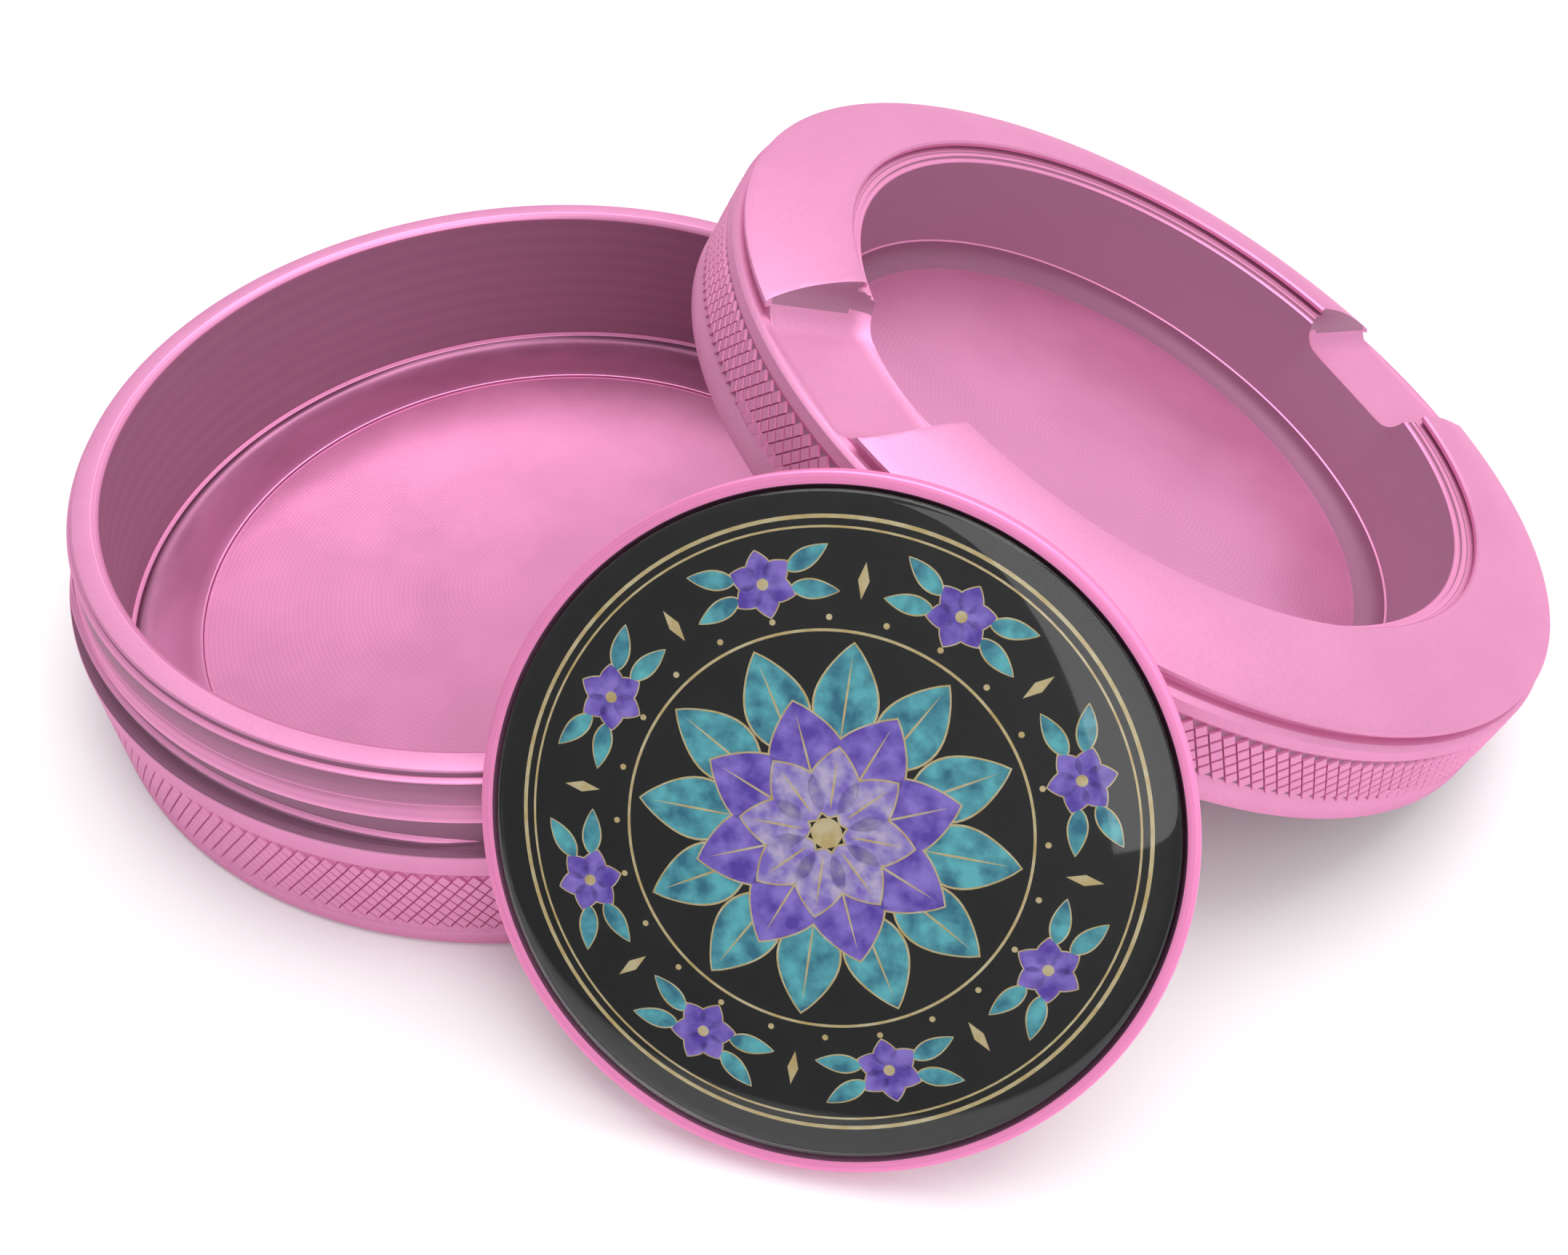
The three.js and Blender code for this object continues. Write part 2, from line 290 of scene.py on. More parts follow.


# A hollow turned with a round tool, with painted shade: its colour runs from painted shade at one height to
# light at another, standing in for the shade and dark reflections under a wall or overhang.
def paintedShadeGradient(name, place, shade, light, fromHeight, toHeight, roughness=0.33,
                   metallic=0.8):
    material, tree, shader = startMaterial(name, Metallic=metallic, Specular_Tint=colour(dyedSheen))
    here = ownCoordinates(tree, place)
    height = addNode(tree, "ShaderNodeSeparateXYZ", Vector=here).outputs["Z"]
    level = addNode(tree, "ShaderNodeMapRange", {"From Min": fromHeight, "From Max": toHeight},
                    Value=height)
    stretched = addNode(tree, "ShaderNodeMapping", {"Scale": (0.1, 0.1, 1.6)}, Vector=here)
    streaks = addNode(tree, "ShaderNodeTexNoise", {"Scale": 1.3, "Detail": 4},
                      Vector=stretched.outputs["Vector"])
    shift = addNode(tree, "ShaderNodeMapRange", {"To Min": -0.35, "To Max": 0.35},
                    Value=streaks.outputs["Fac"])
    total = addNode(tree, "ShaderNodeMath", {"operation": "ADD"})
    tree.links.new(level.outputs["Result"], total.inputs[0])
    tree.links.new(shift.outputs["Result"], total.inputs[1])
    tree.links.new(ramp(tree, total.outputs[0], [(0.0, shade), (1.0, light)]), shader.inputs["Base Color"])
    varyGloss(tree, shader, streaks.outputs["Fac"], roughness - 0.05, roughness + 0.05)
    raiseGrain(tree, shader, streaks.outputs["Fac"], 0.4, 0.00001)
    return material


# Plastics, foil and inks: a small drift in tone, and a soft unevenness in the gloss.
def mouldedPlastic(name, place, light, dark, roughness, cloudSize=4.0, depth=0.004, **settings):
    material, tree, shader = startMaterial(name, **settings)
    here = ownCoordinates(tree, place)
    cloud = addNode(tree, "ShaderNodeTexNoise", {"Scale": 1 / cloudSize, "Detail": 4}, Vector=here)
    shade = ramp(tree, cloud.outputs["Fac"], [(0.35, dark), (0.65, light)])
    tree.links.new(shade, shader.inputs["Base Color"])
    varyGloss(tree, shader, cloud.outputs["Fac"], roughness * 0.8, roughness * 1.2)
    raiseGrain(tree, shader, cloud.outputs["Fac"], 0.3, depth / 1000)
    return material


# ---- camera, light and floor ----
view = {"place": (0.02424, -0.1086, 0.10766), "pitch": 43.65, "lens": 34.2, "sensor": 36}
studio = {
    "dim": 0.12, "bright": 0.78, "towards": (0.5, 0.78, 0.2),  # the walls brighten towards the back right
    "top": {"place": (0.1, 0.1, 0.6), "size": 0.6, "power": 3.3},
    "fill": {"place": (0.2, -0.42, 0.42), "size": 0.5, "power": 1.5},
}


def makeCamera():
    bpy.ops.object.camera_add(location=view["place"], rotation=(math.radians(view["pitch"]), 0, 0))
    camera = bpy.context.object
    camera.data.lens = view["lens"]
    camera.data.sensor_width = view["sensor"]
    camera.data.clip_start = 0.01
    bpy.context.scene.camera = camera
    bpy.context.scene.view_settings.view_transform = "Standard"


def makeLights():
    world = bpy.context.scene.world or bpy.data.worlds.new("studio")
    bpy.context.scene.world = world
    world.use_nodes = True
    tree = world.node_tree
    direction = addNode(tree, "ShaderNodeTexCoord").outputs["Generated"]
    towards = addNode(tree, "ShaderNodeVectorMath", {"operation": "DOT_PRODUCT"})
    towards.inputs[1].default_value = studio["towards"]
    tree.links.new(direction, towards.inputs[0])
    walls = addNode(tree, "ShaderNodeMapRange", {
        "From Min": -0.9, "From Max": 0.9, "To Min": studio["dim"], "To Max": studio["bright"]},
        Value=towards.outputs["Value"])
    background = tree.nodes["Background"]
    background.inputs["Color"].default_value = (1, 1, 1, 1)
    tree.links.new(walls.outputs["Result"], background.inputs["Strength"])
    for name in ("top", "fill"):
        lamp = studio[name]
        bpy.ops.object.light_add(type="AREA", location=lamp["place"])
        area = bpy.context.object
        area.name = name + "Softbox"
        area.data.size = lamp["size"]
        area.data.energy = lamp["power"]
        aim = Vector((0.03, 0, 0)) - Vector(lamp["place"])
        area.rotation_euler = aim.to_track_quat("-Z", "Y").to_euler()


def makeFloor():
    clearSelection()
    bpy.ops.mesh.primitive_plane_add(size=6, location=(0, 0, 0))
    floor = bpy.context.object
    floor.name = "studioFloor"
    material, tree, shader = startMaterial("paintedBoard", Roughness=0.7)
    here = ownCoordinates(tree, Matrix.Identity(4))
    grain = addNode(tree, "ShaderNodeTexNoise", {"Scale": 0.02, "Detail": 2}, Vector=here)
    tree.links.new(ramp(tree, grain.outputs["Fac"], [(0.3, "#f6f6f6"), (0.7, "#f8f8f8")]),
                   shader.inputs["Base Color"])
    floor.data.materials.append(material)


makeCamera()
makeLights()
makeFloor()
print("camera, lights and floor set")

# ---- diamond knurl, one tooth arrayed round and row by row ----
knurl = {"teeth": 220, "toothHeight": 1.7, "depth": 0.2, "flatShare": 0.84, "sink": 0.1}


def makeKnurl(name, bottomRadius, topRadius, bottom, top):
    rows = round((top - bottom) / (knurl["toothHeight"] / 2)) - 1
    step = (top - bottom) / (rows + 1)
    pitch = 2 * math.pi / knurl["teeth"]
    clearSelection()
    bpy.ops.mesh.primitive_cone_add(
        vertices=4, radius1=1, radius2=knurl["flatShare"], depth=knurl["depth"] + knurl["sink"],
        location=(topRadius - (knurl["depth"] + knurl["sink"]) / 2, 0, 0), rotation=(0, math.pi / 2, 0))
    tooth = bpy.context.object
    bpy.ops.object.transform_apply()
    bpy.ops.object.mode_set(mode="EDIT")
    bpy.ops.mesh.select_all(action="SELECT")
    bpy.ops.transform.resize(value=(1, topRadius * pitch / 2, step), center_override=(0, 0, 0))
    bpy.ops.object.mode_set(mode="OBJECT")
    bpy.ops.object.empty_add(rotation=(0, 0, pitch))
    turner = bpy.context.object
    applyModifier(tooth, "ARRAY", count=knurl["teeth"], use_relative_offset=False,
                  use_object_offset=True, offset_object=turner)
    bpy.data.objects.remove(turner)
    band = [tooth]
    for row in range(1, rows):
        pick(tooth)
        bpy.ops.object.duplicate()
        band.append(bpy.context.object)
    for row, ring in enumerate(band):
        share = (row + 1) / (rows + 1)
        radius = bottomRadius + (topRadius - bottomRadius) * share
        ring.scale = (radius / topRadius, radius / topRadius, 1)
        ring.rotation_euler = (0, 0, pitch / 2 * (row % 2))
        ring.location = (0, 0, bottom + step * (row + 1))
        pick(ring)
        bpy.ops.object.transform_apply()
    return join(name, band)


# ---- thread ridges, each a small wedge section swept along a helix ----
thread = {"reach": 0.4, "half": 0.5, "crest": 0.15, "lead": -14.4, "starts": 4, "first": 20, "fade": 3}


def makeRidge(root, reach, turns, startHeight, startAngle):
    inward = math.copysign(0.2, reach)
    clearSelection()
    bpy.ops.mesh.primitive_plane_add(size=2, rotation=(math.pi / 2, 0, 0), location=(root, 0, startHeight))
    ridge = bpy.context.object
    bpy.ops.object.transform_apply()
    for corner in ridge.data.vertices:
        outer = corner.co.x > root
        above = corner.co.z > startHeight
        crest = outer if reach > 0 else not outer
        corner.co.x = root + reach if crest else root - inward
        corner.co.z = startHeight + (1 if above else -1) * (thread["crest"] if crest else thread["half"])
    steps = round(160 * turns)
    applyModifier(ridge, "SCREW", angle=turns * 2 * math.pi, screw_offset=thread["lead"] * turns, axis="Z",
                  steps=steps, render_steps=steps, use_smooth_shade=False)
    for corner in ridge.data.vertices:  # the crest rises from the wall and sinks back at both ends
        radius = math.hypot(corner.co.x, corner.co.y)
        along = abs(math.degrees(math.atan2(corner.co.y, corner.co.x)))
        rise = min(1, min(along, abs(turns * 360 - along)) / (2 * thread["fade"]))
        if abs(radius - root - reach) < 0.01:
            share = (root + reach * rise - inward * 0.3 * (1 - rise)) / radius
            corner.co.x *= share
            corner.co.y *= share
    bpy.ops.object.mode_set(mode="EDIT")
    bpy.ops.mesh.select_mode(type="EDGE")
    bpy.ops.mesh.select_all(action="DESELECT")
    bpy.ops.mesh.select_non_manifold()
    bpy.ops.mesh.fill_holes(sides=4)
    bpy.ops.mesh.select_all(action="SELECT")
    bpy.ops.mesh.normals_make_consistent(inside=False)
    bpy.ops.object.mode_set(mode="OBJECT")
    ridge.rotation_euler = (0, 0, startAngle)
    return ridge


def makeThread(name, root, reach, turns, startHeight):
    ridges = []
    for index in range(thread["starts"]):
        angle = math.radians(thread["first"] + 360 * index / thread["starts"])
        ridges.append(makeRidge(root, reach, turns, startHeight, angle))
        pick(ridges[-1])
        bpy.ops.object.transform_apply()
    piece = join(name, ridges)
    smooth(piece)
    return piece


# ---- bowl ----
bowl = {
    "radius": 42.5, "height": 20.2, "shoulder": 12.65, "baseRound": 0.8,
    "rim": 40.0, "rimInner": 37.7, "rimBevel": 0.5, "rimEdge": 0.15,
    "collarBottom": 19.4, "collar": 40.5, "flareTop": 40.8, "flareFoot": 16.9,
    "slopeFoot": 15.6, "neck": 41.3,
    "threadTop": 15.9, "knurlBottom": 2.0, "knurlTop": 10.2, "ringRadius": 40.2, "ringLine": 2.85,
    "ringWidth": 0.35, "coveFoot": 1.45, "floorEdge": 33.75, "floor": 1.1,
}


def isNeckWall(r, z, normal):
    onNeck = bowl["neck"] - 0.1 < r < bowl["neck"] + 0.4
    wall = onNeck and bowl["shoulder"] - 0.3 < z < bowl["slopeFoot"] + 0.05
    shoulder = bowl["neck"] < r < bowl["radius"] - 0.1 and abs(z - bowl["shoulder"]) < 0.3
    collar = r > bowl["rim"] - 0.05 and z > bowl["collarBottom"] + 0.1 and normal.z < 0.5
    return wall or shoulder or collar


def isFlare(r, z, normal):
    return bowl["collar"] - 0.1 < r < bowl["neck"] and bowl["flareFoot"] - 0.1 < z < bowl["collarBottom"]


def isNeckLedge(r, z, normal):
    return r > bowl["rim"] and z > bowl["slopeFoot"] and normal.z > 0.3


def isRimBevel(r, z, normal):
    return abs(r - bowl["rimInner"] - bowl["rimBevel"] / 2) < 0.35 and z > bowl["height"] - 0.6


def isInnerWall(r, z, normal):
    return r < bowl["ringRadius"] and bowl["ringLine"] + 0.1 < z < bowl["height"] - 0.55 and normal.z < 0.3


def isRingLine(r, z, normal):
    return abs(r - bowl["ringRadius"] + bowl["ringWidth"] / 2) < 0.3 and abs(z - bowl["ringLine"]) < 0.25


def isCove(r, z, normal):
    return bowl["floorEdge"] - 0.1 < r < bowl["ringRadius"] - 0.4 and 1 < z < bowl["ringLine"]


def isBowlFloor(r, z, normal):
    return r < bowl["floorEdge"] - 0.1 and 0.9 < z < bowl["floor"] + 0.1 and normal.z > 0.9


# Faces turned upward, which get the brighter finish as a painted highlight.
def isLit(r, z, normal):
    return normal.z > 0.3


def makeBowl():
    b = bowl
    bed = b["radius"] - knurl["depth"] - 0.02  # the knurl's teeth stand in a shallow bed
    outline = [
        (b["radius"] - b["baseRound"] * 1.3, 0),
        *arcPoints(b["radius"] - b["baseRound"], b["baseRound"], b["baseRound"], -90, 0, 5),
        (b["radius"], b["knurlBottom"] - 0.1), (bed, b["knurlBottom"] + 0.25),
        (bed, b["knurlTop"] - 0.25), (b["radius"], b["knurlTop"] + 0.1),
        (b["radius"], b["shoulder"] - 0.15), (b["radius"] - 0.15, b["shoulder"]),
        (b["neck"] + 0.3, b["shoulder"]), (b["neck"], b["shoulder"] + 0.3),
        (b["neck"], b["slopeFoot"]), (b["neck"] - 0.06, b["slopeFoot"] + 0.18),
        (b["flareTop"] + 0.02, b["flareFoot"] - 0.05), (b["flareTop"] - 0.06, b["flareFoot"] + 0.02),
    ]
    collar = b["collar"]
    flareEdge = b["flareTop"] - 0.1
    for step in range(1, 8):  # the hollow flare under the collar
        share = step / 8
        outline.append((flareEdge - (flareEdge - collar) * math.sin(share * math.pi / 2),
                        b["flareFoot"] + (b["collarBottom"] - b["flareFoot"]) * share))
    outline += [
        (collar, b["collarBottom"]), (b["rim"], b["collarBottom"] + 0.05),
        (b["rim"], b["height"] - b["rimEdge"]), (b["rim"] - b["rimEdge"], b["height"]),
        (b["rimInner"] + b["rimBevel"], b["height"]), (b["rimInner"], b["height"] - b["rimBevel"]),
        (b["ringRadius"], b["ringLine"] + 0.05), (b["ringRadius"] - b["ringWidth"], b["ringLine"] - 0.05),
    ]
    coveTop = b["ringLine"] - 0.2
    coveEdge = b["ringRadius"] - b["ringWidth"] - 0.1
    for step in range(0, 10):  # the wide hollow between the ring line and the floor circle
        angle = step / 9 * math.pi / 2
        outline.append((coveEdge - (coveEdge - b["floorEdge"] - 0.25) * (1 - math.cos(angle)),
                        coveTop - (coveTop - b["coveFoot"]) * math.sin(angle)))
    outline += [(b["floorEdge"] + 0.02, b["coveFoot"] - 0.05), (b["floorEdge"], b["floor"])]
    shell = turnSolid("bowlShell", outline)
    softenEdges(shell)
    smooth(shell)
    # Painted shade on the neck wall, shoulder, collar, flare, inner wall and cove; the up-facing neck
    # ledges, rim bevel and ring line get the brighter turned finish, partly painted highlight.
    coat(shell, blasted["bowl"],
         (paintedShadeMetal["neck"], isNeckWall), (flare["bowl"], isFlare), (turned["bowl"], isNeckLedge),
         (turned["bowl"], isRimBevel), (paintedShadeMetal["bowl"], isInnerWall), (turned["bowl"], isRingLine),
         (cove["bowl"], isCove), (turned["bowlFloor"], isBowlFloor))
    threads = makeThread("bowlThread", b["neck"], thread["reach"], 0.2, b["threadTop"])
    # Lit and shaded copies of one metal: up-facing flanks get the brighter finish as painted highlight, the
    # rest painted shade.
    coat(threads, paintedShadeMetal["neck"], (turned["bowl"], isLit))
    band = makeKnurl("bowlKnurl", b["radius"], b["radius"], b["knurlBottom"], b["knurlTop"])
    coat(band, blasted["knurl"])
    settle(shell, bowlFrame, "bowl", "anodised_aluminium", "bowl")
    settle(threads, bowlFrame, "bowl", "anodised_aluminium")
    settle(band, bowlFrame, "bowl", "anodised_aluminium")


# ---- tray lid ----
tray = {
    "flange": 41.05, "flangeEdge": 0.2, "domeTop": 2.1, "opening": 31.9, "openingEdge": 0.2,
    "landFoot": 1.6, "grooveRadius": 40.5, "grooveTop": -0.15, "grooveBottom": -0.95, "lipWidth": 0.4,
    "skirtTop": 41.6, "skirt": 42.2, "skirtBottom": -9.3, "skirtInner": 40.95,
    "stepTop": -5.4, "skirtLower": 41.75, "threadTop": -6.4,
    "ceiling": -1.9, "undercut": 32.5, "seatTop": 1.15, "seat": 31.6, "seatStep": 31.1, "seatBottom": 0.75,
    "wall": 30.6, "wallOuter": 32.4, "wellFloor": -10.8, "wellBottom": -12.4,
    "bottomBevel": 1.2, "cove": 2.4,
    "knurlBottom": -7.2, "knurlTop": -2.4, "ringLine": -8.8,
}
notch = {
    "halfFloor": 5.2, "corner": 3.0, "depth": 0.95, "slope": 4.6, "turn": 25.1,
    "mouth": 42.8, "reach": 14, "height": 8,
}


def makeNotchCutter(turn):
    side = notch["halfFloor"] + notch["corner"]
    clearSelection()
    bpy.ops.mesh.primitive_cube_add(size=1, location=(-notch["reach"] / 2, 0, notch["height"] / 2),
                                    scale=(notch["reach"], 2 * side, notch["height"]))
    cutter = bpy.context.object
    bpy.ops.object.transform_apply()
    for edge in cutter.data.edges:
        ends = [cutter.data.vertices[i].co for i in edge.vertices]
        edge.select = all(end.z < 0.1 for end in ends) and abs(ends[0].y - ends[1].y) < 0.1
    bpy.ops.object.mode_set(mode="EDIT")
    bpy.ops.mesh.select_mode(type="EDGE")
    bpy.ops.mesh.bevel(offset=notch["corner"], segments=12, affect="EDGES")
    bpy.ops.object.mode_set(mode="OBJECT")
    mouth = Matrix.Translation((notch["mouth"], 0, -notch["depth"]))
    cutter.matrix_world = (Matrix.Rotation(turn, 4, "Z") @ mouth
                           @ Matrix.Rotation(-math.radians(notch["slope"]), 4, "Y"))
    bpy.ops.object.transform_apply()
    return cutter


def skirtAt(height):  # the skirt's radius, which grows a little towards its foot
    share = (height - tray["skirtBottom"]) / (tray["grooveBottom"] - tray["lipWidth"] - tray["skirtBottom"])
    return tray["skirt"] + (tray["skirtTop"] - tray["skirt"]) * share


def isSeat(r, z, normal):
    level = tray["seatBottom"] - 0.2 < z < tray["landFoot"] - 0.1
    return r < tray["undercut"] + 0.1 and level and normal.z > 0.5


def isWellWall(r, z, normal):
    level = tray["ringLine"] < z < tray["landFoot"]
    return tray["wall"] - 0.3 < r < tray["undercut"] + 0.1 and level and normal.z < 0.5


def isWellLine(r, z, normal):
    return abs(r - tray["wall"] + 0.08) < 0.16 and abs(z - tray["ringLine"]) < 0.3 and normal.z > 0.4


def isWellFloor(r, z, normal):
    return r < tray["wall"] - 0.12 and tray["wellFloor"] - 0.1 < z < tray["ringLine"] + 0.1


def isWellCove(r, z, normal):
    return isWellFloor(r, z, normal) and z > tray["wellFloor"] + 0.02


def isNotchSide(r, z, normal):
    return 33 < r < 40.3 and z > -1.2 and normal.z < 0.6


def isThreadRecess(r, z, normal):
    return tray["wallOuter"] + 0.05 < r < skirtAt(z) - 0.15 and z < tray["ceiling"] + 0.1


def makeTrayLid():
    t = tray
    bed = knurl["depth"] + 0.02
    outline = [
        (t["wallOuter"] - t["bottomBevel"], t["wellBottom"]),
        (t["wallOuter"], t["wellBottom"] + t["bottomBevel"]),
        (t["wallOuter"], t["ceiling"]), (t["skirtInner"], t["ceiling"]), (t["skirtInner"], t["stepTop"]),
        (t["skirtLower"], t["stepTop"] - 0.4), (t["skirtLower"], t["skirtBottom"]),
        (t["skirt"] - 0.15, t["skirtBottom"]), (t["skirt"], t["skirtBottom"] + 0.15),
        (skirtAt(t["knurlBottom"] - 0.1), t["knurlBottom"] - 0.1),
        (skirtAt(t["knurlBottom"] + 0.25) - bed, t["knurlBottom"] + 0.25),
        (skirtAt(t["knurlTop"] - 0.25) - bed, t["knurlTop"] - 0.25),
        (skirtAt(t["knurlTop"] + 0.1), t["knurlTop"] + 0.1),
        (t["skirtTop"], t["grooveBottom"] - t["lipWidth"]),
        (t["skirtTop"] - t["lipWidth"], t["grooveBottom"]),
        (t["grooveRadius"], t["grooveBottom"]), (t["grooveRadius"], t["grooveTop"]),
        (t["flange"], t["grooveTop"]), (t["flange"], t["flangeEdge"]),
    ]
    width = t["flange"] - t["opening"] - t["openingEdge"]
    for step in range(1, 11):  # the flange's gentle dome
        share = step / 10
        outline.append((t["flange"] - width * share,
                        t["flangeEdge"] + (t["domeTop"] - t["flangeEdge"]) * math.sin(share * math.pi / 2)))
    outline += [
        (t["opening"], t["domeTop"] - t["openingEdge"]), (t["opening"], t["landFoot"]),
        (t["undercut"], t["landFoot"] - 0.1), (t["undercut"], t["seatTop"]),
        (t["seat"], t["seatTop"]), (t["seat"] - 0.05, t["seatTop"] - 0.12),
        (t["seatStep"], t["seatTop"] - 0.14),
        (t["seatStep"] - 0.03, t["seatBottom"]), (t["wall"] + 0.15, t["seatBottom"]),
        (t["wall"], t["seatBottom"] - 0.15), (t["wall"], t["ringLine"] + 0.1),
        (t["wall"] - 0.16, t["ringLine"]), (t["wall"] - 0.18, t["ringLine"] - 0.15),
    ]
    coveWidth = t["cove"]
    for step in range(1, 9):
        angle = step / 8 * math.pi / 2
        outline.append((t["wall"] - 0.18 - coveWidth * (1 - math.cos(angle)),
                        t["ringLine"] - 0.2 - (t["ringLine"] - 0.2 - t["wellFloor"]) * math.sin(angle)))
    shell = turnSolid("trayShell", outline)
    for turn in (0, math.pi):
        cutter = makeNotchCutter(math.radians(notch["turn"]) + turn)
        applyModifier(shell, "BOOLEAN", operation="DIFFERENCE", solver="EXACT", object=cutter)
        bpy.data.objects.remove(cutter)
    softenEdges(shell)
    smooth(shell)
    # Painted shade on the well wall, notch sides, well cove and thread recess; the seat and the well's ring
    # line get the brighter turned finish, partly painted highlight.
    coat(shell, blasted["tray"],
         (paintedShadeMetal["tray"], isWellWall), (turned["tray"], isSeat), (paintedShadeMetal["tray"], isNotchSide),
         (turned["trayFloor"], isWellFloor), (cove["tray"], isWellCove), (turned["tray"], isWellLine),
         (paintedShadeMetal["tray"], isThreadRecess))
    threads = makeThread("trayThread", t["skirtLower"], -thread["reach"], 0.15, t["threadTop"])
    coat(threads, turned["tray"])
    band = makeKnurl("trayKnurl", skirtAt(t["knurlBottom"]), skirtAt(t["knurlTop"]),
                     t["knurlBottom"], t["knurlTop"])
    coat(band, blasted["trayKnurl"])
    settle(shell, trayFrame, "tray", "anodised_aluminium", "tray_lid")
    settle(threads, trayFrame, "tray", "anodised_aluminium")
    settle(band, trayFrame, "tray", "anodised_aluminium")


# ---- sealing ring in the lid's ceiling ----
gasket = {"inner": 36.8, "outer": 39.7, "top": -2.2, "thickness": 0.8, "bead": 0.18}


def makeGasket():
    g = gasket
    bottom = g["top"] - g["thickness"]
    middle = (g["inner"] + g["outer"]) / 2
    ring = turnRing("lidGasket", [
        (g["inner"], bottom), (middle - 0.7, bottom), (middle - 0.45, bottom + g["bead"]),
        (middle + 0.45, bottom + g["bead"]), (middle + 0.7, bottom), (g["outer"], bottom),
        (g["outer"], g["top"]), (g["inner"], g["top"])])
    softenEdges(ring, 0.15)
    smooth(ring)
    coat(ring, silicone)
    settle(ring, trayFrame, "tray_carrier", "silicone", "lid_gasket")


# ---- round inlay ----
disc = {
    "radius": 25.4, "thickness": 2.8, "recess": 24.45, "recessDepth": 1.9, "edge": 0.35, "topEdge": 0.15,
    "film": 0.25, "filmGap": 0.25, "clear": 0.3, "domeRise": 1.0, "domeFoot": -0.1,
}


def makeDiscCup():
    d = disc
    cup = turnSolid("discCup", [
        (d["radius"] - d["edge"], -d["thickness"]), (d["radius"], -d["thickness"] + d["edge"]),
        (d["radius"], -d["topEdge"]), (d["radius"] - d["topEdge"], 0), (d["recess"], 0),
        (d["recess"], -d["recessDepth"])])
    softenEdges(cup, 0.06)
    smooth(cup)
    # The recess inside the cup gets a darker metal: painted shade in the recess.
    coat(cup, discRing,
         (paintedShadeMetal["disc"], lambda r, z, n: r < d["recess"] + 0.1 and z > -d["recessDepth"] - 0.1))
    settle(cup, discFrame, "disc", "anodised_disc", "disc_cup")


def makeClearDome():
    d = disc
    radius = d["recess"] - d["clear"]
    low = -d["recessDepth"] + 2 * d["filmGap"] + d["film"]
    outline = [(radius, low)]
    for step in range(24):
        angle = step / 24 * math.pi / 2
        outline.append((radius * math.cos(angle), d["domeFoot"] + d["domeRise"] * math.sin(angle)))
    outline.append((radius * 0.02, d["domeFoot"] + d["domeRise"]))
    dome = turnSolid("clearDome", outline, 192)
    smooth(dome, 60)
    coat(dome, clearResin)
    settle(dome, discFrame, "disc", "clear_resin", "clear_dome")


# The print: a geometric rosette of leaves and petals with gold outlines, rings, dots and lozenges.
ornament = {
    "leaf": {"count": 12, "reach": 13.6, "inner": 6.2, "width": 4.4, "turn": 0},
    "petalLarge": {"count": 8, "reach": 9.6, "inner": 2.4, "width": 5.4, "turn": 22.5},
    "petalSmall": {"count": 8, "reach": 6.2, "inner": 1.2, "width": 3.6, "turn": 0},
    "outline": 0.16, "layer": 0.012,
    "rings": [(22.2, 0.14), (21.5, 0.08), (14.4, 0.1)],
    "dots": {"count": 24, "radius": 15.3, "size": 0.22, "turn": 7.5},
    "lozenges": {"count": 8, "radius": 18.0, "size": (0.4, 1.3)},
    "blossom": {"count": 8, "radius": 18.0, "petals": 6, "inner": 0.3, "reach": 2.35, "width": 1.7,
                "turn": 22.5, "eye": 0.42},
    "sprig": {"reach": 3.3, "width": 1.25, "start": 2.0, "spread": (72, 108)},
}


def flatShape(name, points, height, thickness=0.01):  # a thin flat shape from a circle primitive's vertices
    clearSelection()
    bpy.ops.mesh.primitive_circle_add(vertices=len(points), radius=1, fill_type="NGON", location=(0, 0, 0))
    shape = bpy.context.object
    shape.name = name
    for vertex, (x, y) in zip(shape.data.vertices, points):
        vertex.co = (x, y, height)
    applyModifier(shape, "SOLIDIFY", thickness=thickness, offset=-1)
    return shape


def petalPoints(inner, reach, width, grow=0.0):  # a pointed leaf along +X
    points = []
    steps = 14
    length = reach - inner + 2 * grow
    for side in (1, -1):
        for step in range(steps):
            share = step / steps if side == 1 else 1 - step / steps
            swell = math.sin(math.pi * share ** 0.8) ** 0.85 if 0 < share < 1 else 0
            points.append((inner - grow + length * share, side * (width / 2 + grow) * swell))
    return points


def copiesRound(shape, count, turn):
    copies = [shape]
    for index in range(1, count):
        pick(shape)
        bpy.ops.object.duplicate()
        copies.append(bpy.context.object)
    for index, copy in enumerate(copies):
        copy.rotation_euler = (0, 0, math.radians(turn) + 2 * math.pi * index / count)
    return copies


def moved(shape, turn, along):  # turns a flat shape on the spot, then slides it out along +X
    shape.rotation_euler = (0, 0, math.radians(turn))
    shape.location = (along, 0, 0)
    pick(shape)
    bpy.ops.object.transform_apply()
    return shape


def addWreath(level, gold, petals, leaves):  # small blossoms with two leaves on each side
    o = ornament
    b = o["blossom"]
    s = o["sprig"]
    for grow, height, heap in ((o["outline"] * 0.7, level, gold), (0, level + o["layer"], petals)):
        petal = flatShape("petal", petalPoints(b["inner"], b["reach"], b["width"], grow), height)
        flower = join("flower", copiesRound(petal, b["petals"], 0))
        heap += copiesRound(moved(flower, 0, b["radius"]), b["count"], b["turn"])
    for turn in [side * angle for side in (1, -1) for angle in s["spread"]]:
        for grow, height, heap in ((o["outline"] * 0.7, level - 0.002, gold),
                                   (0, level + o["layer"] / 2, leaves)):
            outline = petalPoints(s["start"], s["start"] + s["reach"], s["width"], grow)
            leaf = flatShape("leaf", outline, height)
            heap += copiesRound(moved(leaf, turn, b["radius"]), b["count"], b["turn"])
    eye = [(b["radius"] + b["eye"] * math.cos(a * math.pi / 6), b["eye"] * math.sin(a * math.pi / 6))
           for a in range(12)]
    gold += copiesRound(flatShape("eye", eye, level + 2 * o["layer"]), b["count"], b["turn"])


